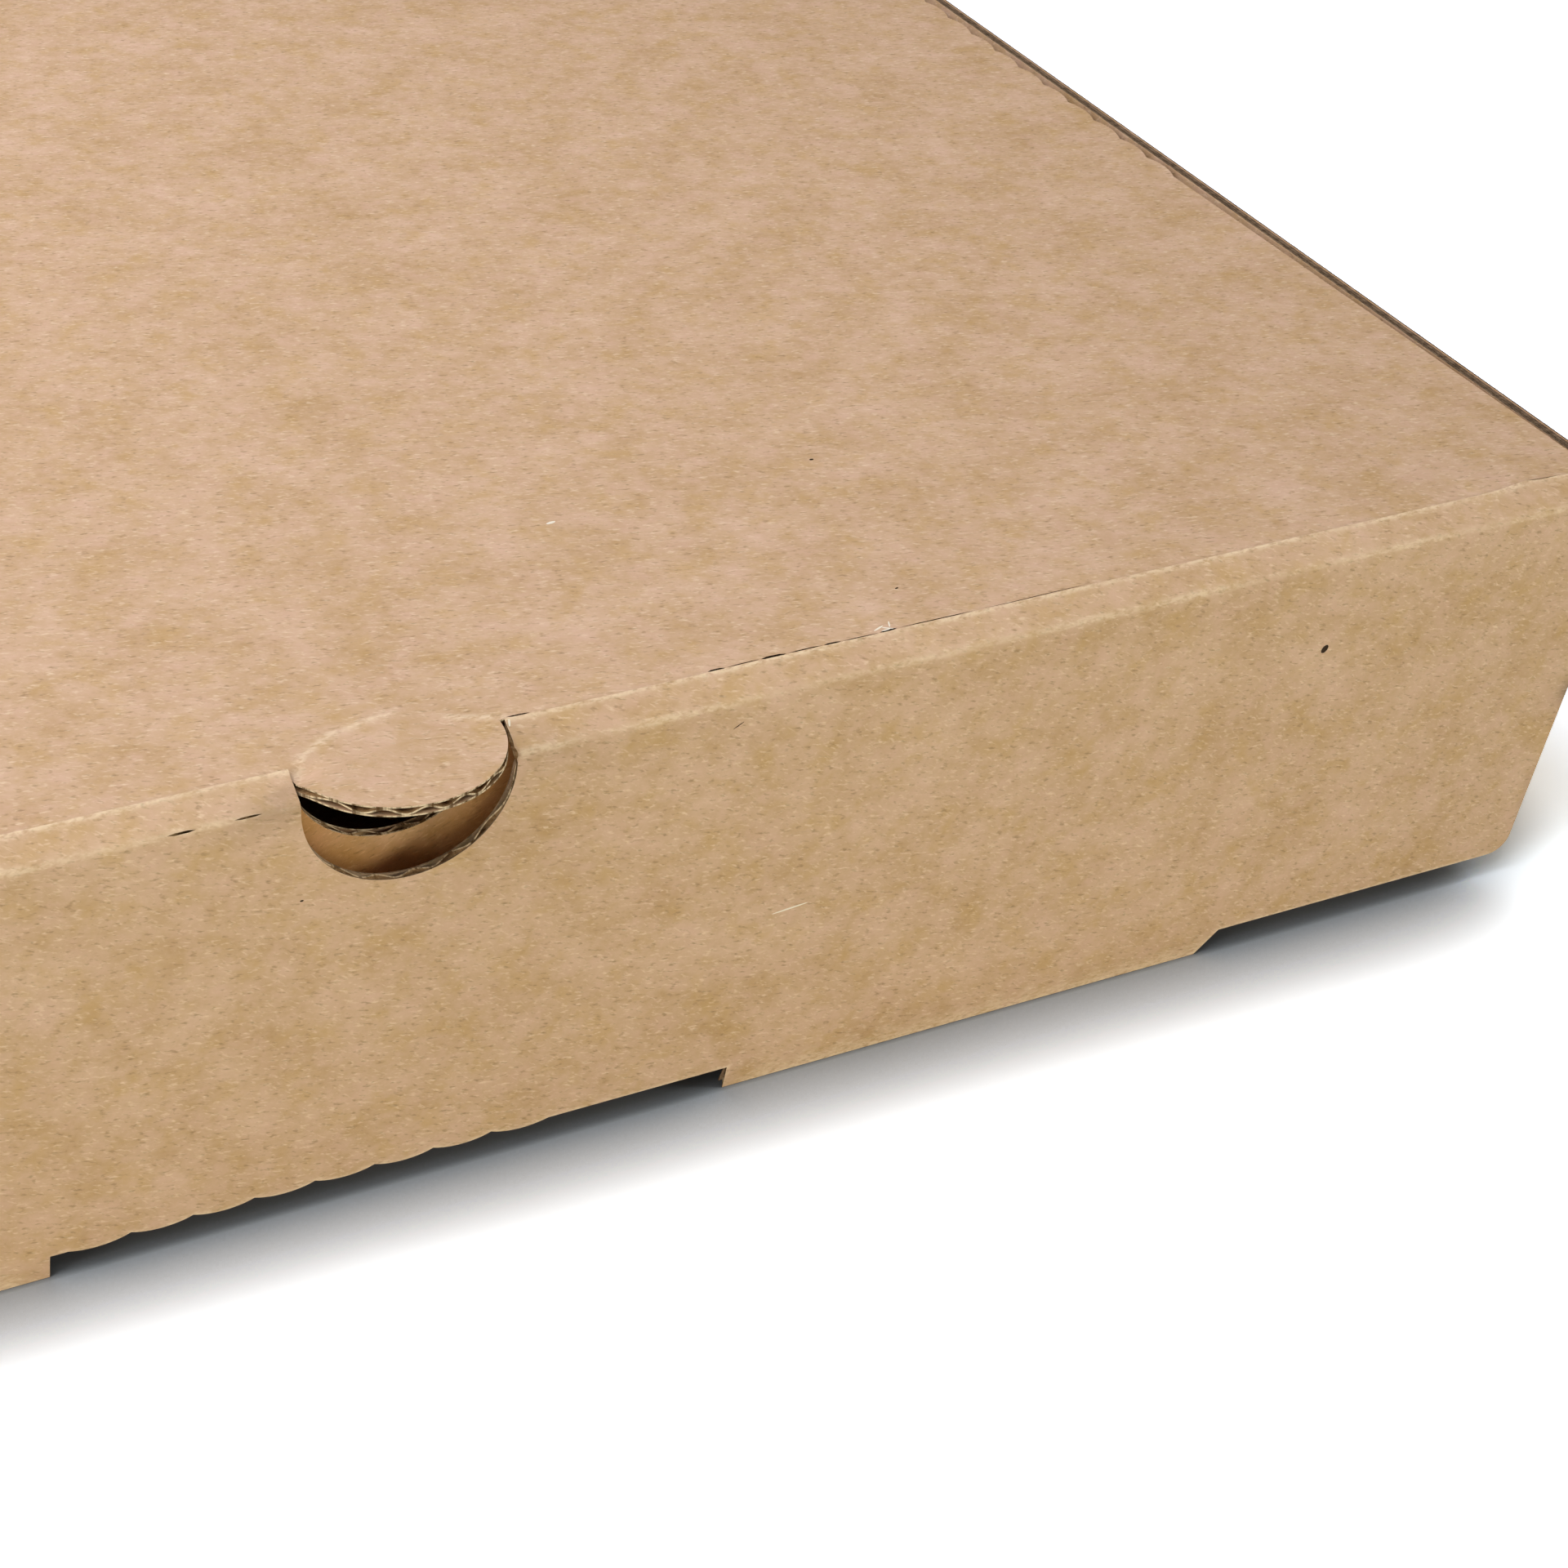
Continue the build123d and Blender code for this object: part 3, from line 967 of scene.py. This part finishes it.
def floor_material():
    """A white floor. Where it is seen directly it is brighter, with a painted contact shadow from occlusion
    near the box's foot.
    """
    nodes = Nodes("floor_white")
    tree = nodes.tree
    tree.nodes.remove(nodes.shader)
    plain_floor = nodes.new("ShaderNodeBsdfDiffuse")
    plain_floor.inputs["Color"].default_value = (0.82, 0.80, 0.69, 1)
    painted_contact_shadow = nodes.new("ShaderNodeAmbientOcclusion", samples=32)
    painted_contact_shadow.inputs["Distance"].default_value = 25 * MM
    # Painted contact shadow: the seen floor's colour falls with occlusion within 25 mm
    openness = nodes.math("POWER", nodes.ramp(painted_contact_shadow.outputs["AO"], 0.1, 0.85), 2.8)
    openness = nodes.math("ADD", nodes.math("MULTIPLY", openness, 0.945), 0.055)
    seen_colour = nodes.new("ShaderNodeVectorMath", operation="SCALE")
    seen_colour.inputs[0].default_value = (2.4, 2.62, 3.1)
    nodes.link(openness, seen_colour.inputs["Scale"])
    seen_floor = nodes.new("ShaderNodeBsdfDiffuse")
    nodes.link(seen_colour.outputs[0], seen_floor.inputs["Color"])
    path = nodes.new("ShaderNodeLightPath")
    seen = nodes.math("MAXIMUM", path.outputs["Is Camera Ray"], path.outputs["Is Glossy Ray"])
    seen = nodes.math("MAXIMUM", seen, path.outputs["Is Transmission Ray"])
    mix = nodes.new("ShaderNodeMixShader")
    nodes.link(seen, mix.inputs[0])
    nodes.link(plain_floor.outputs[0], mix.inputs[1])
    nodes.link(seen_floor.outputs[0], mix.inputs[2])
    nodes.link(mix.outputs[0], tree.nodes["Material Output"].inputs["Surface"])
    return nodes.material


def cut_edge(name, dark, pale):
    """Torn and crushed paper at a cut edge: pale, with dark flecks; made all dark, it is painted shade on
    raw edges.
    """
    nodes = Nodes(name)
    torn = nodes.noise(nodes.sheet(0, 1.0), 0.8, 3.0, 0.7)
    nodes.link(nodes.mix(nodes.ramp(torn, 0.36, 0.58), dark, pale), nodes.shader.inputs["Base Color"])
    nodes.shader.inputs["Roughness"].default_value = 0.9
    nodes.shader.inputs["Specular IOR Level"].default_value = 0.12
    return nodes.material


def speck(name, colour):
    """One plain colour, for flecks, fibres and the painted shade inside a split."""
    nodes = Nodes(name)
    nodes.shader.inputs["Base Color"].default_value = (*colour, 1)
    nodes.shader.inputs["Roughness"].default_value = 0.9
    nodes.shader.inputs["Specular IOR Level"].default_value = 0.12
    return nodes.material


fibre_tone = (0.88, 0.69, 0.50)
paper = kraft("kraft_liner", (0.485, 0.298, 0.136), (0.755, 0.522, 0.392), fibre_tone)
cut_paper = cut_edge("kraft_cut_edge", (0.12, 0.066, 0.028), (0.74, 0.585, 0.41))
flute_paper = cut_edge("kraft_flute", (0.18, 0.10, 0.045), (0.38, 0.235, 0.12))
# Raw edges: dark brown, painted shade in the open flutes and the gaps beside them
shaded_raw_edge = cut_edge("kraft_raw_edge", (0.11, 0.072, 0.045), (0.25, 0.172, 0.112))
# Near black: dark specks on the paper, and painted shade on the rims of the splits
dark_speck_and_slit_shade = speck("fleck_dark_and_slit_shade", (0.035, 0.02, 0.012))
pale_fibre = speck("fibre_pale", (0.90, 0.81, 0.69))
# The tray's paper: painted shade in its recesses and on the front wall behind the flap
tray_paper = kraft("kraft_tray", (0.485, 0.295, 0.13), (0.755, 0.515, 0.37), fibre_tone, hollow=True)
finishes = (cut_paper, flute_paper, shaded_raw_edge, dark_speck_and_slit_shade, pale_fibre)

boards = [("tray", tray_board, tray_paper), ("lid", lid_board, paper), ("front_flap", flap_board, paper)]
for node, make, sheet in boards:
    piece = make().build(f"{node}_board", (sheet, *finishes))
    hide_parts(node)
    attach(piece, node)

# Each strip's rows, spans, facing and bodies, and where its bend starts and ends in y and z
rear_span = ((-lid_half_rear, lid_half_rear),)
strips = [
    ("rear_crease_outside", rear_outside, rear_span, -1, ("tray", "lid"), (126.4, 47.5), (124.2, 49.7)),
    ("rear_crease_inside", rear_inside, rear_span, 1, ("tray", "lid"), (124.9, 47.0), (123.7, 48.2)),
    (
        "front_crease_inside", front_inside, beside_hole, 1, ("lid", "front_flap"),
        (-126.6, 48.0), (-127.7, 47.1),
    ),
]
for name, rows, spans, facing, bodies, start, end in strips:
    piece = crease_strip(rows, spans, facing).build(name, (paper,))
    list(bodies)
    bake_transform(piece)

# Floor
floor_half = 3.0
floor_mesh = bpy.data.meshes.new("floor")
floor_corners = [(x * floor_half, y * floor_half, 0) for x, y in ((-1, -1), (1, -1), (1, 1), (-1, 1))]
floor_mesh.from_pydata(floor_corners, [], [(0, 1, 2, 3)])
floor_mesh.materials.append(floor_material())
floor = bpy.data.objects.new("floor", floor_mesh)
bpy.context.scene.collection.objects.link(floor)
floor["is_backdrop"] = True


def area_light(name, azimuth, elevation, distance, size, level, colour=(1.0, 1.0, 1.0)):
    """A round soft lamp. At level 1 it shows a white face turned to it as white; azimuth 0 is the front."""
    lamp = bpy.data.lights.new(name, "AREA")
    lamp.shape = "DISK"
    lamp.size = size
    lamp.energy = level * (math.pi * distance) ** 2
    lamp.color = colour
    azimuth, elevation = math.radians(azimuth), math.radians(elevation)
    target = Vector((0.0, -0.05, 0.04))
    flat = math.cos(elevation)
    way = Vector((flat * math.sin(azimuth), -flat * math.cos(azimuth), math.sin(elevation)))
    holder = bpy.data.objects.new(name, lamp)
    holder.location = target + way * distance
    holder.rotation_euler = (-way).to_track_quat("-Z", "Y").to_euler()
    bpy.context.scene.collection.objects.link(holder)


# Soft studio light from the front and the rear, both high, with two dim low lamps for the front flap
area_light("front_high", -50, 58, 0.62, 0.6, 0.595, (1.0, 0.985, 0.92))
area_light("rear_high", -145, 50, 0.60, 0.45, 0.70, (0.98, 0.98, 1.05))
area_light("left_low", -66, 10, 1.10, 0.4, 0.40, (0.955, 0.975, 0.835))
area_light("right_low", 60, 10, 1.60, 0.4, 0.53, (0.955, 0.975, 0.835))
world = bpy.data.worlds.new("surround")
world.use_nodes = True
world.node_tree.nodes["Background"].inputs["Color"].default_value = (1, 1, 1, 1)
world.node_tree.nodes["Background"].inputs["Strength"].default_value = 0.03
bpy.context.scene.world = world

# Camera: at the photograph's viewing angle
camera_place = np.array([-83.70, -355.25, 207.15])
camera_azimuth = math.radians(-27.838)
camera_elevation = math.radians(33.551)
camera_roll = math.radians(-2.443)
camera_lens = 78.76
right = np.array([math.cos(camera_azimuth), math.sin(camera_azimuth), 0])
forward = np.array(
    [
        math.sin(-camera_azimuth) * math.cos(camera_elevation),
        math.cos(camera_azimuth) * math.cos(camera_elevation),
        -math.sin(camera_elevation),
    ]
)
below = np.cross(forward, right)
turned_right = math.cos(camera_roll) * right + math.sin(camera_roll) * below
turned_up = math.sin(camera_roll) * right - math.cos(camera_roll) * below
camera_data = bpy.data.cameras.new("camera")
camera_data.lens = camera_lens
camera_data.sensor_width = 36
camera_data.clip_start = 0.01
camera = bpy.data.objects.new("camera", camera_data)
turn_matrix = np.column_stack([turned_right, turned_up, -forward])
camera.matrix_world = Matrix.Translation(Vector(camera_place * MM)) @ Matrix(turn_matrix.tolist()).to_4x4()
bpy.context.scene.collection.objects.link(camera)
bpy.context.scene.camera = camera
bpy.context.scene.view_settings.view_transform = "Standard"

corners = [[list(corner) for corner in box] for box in (cad_box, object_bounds())]
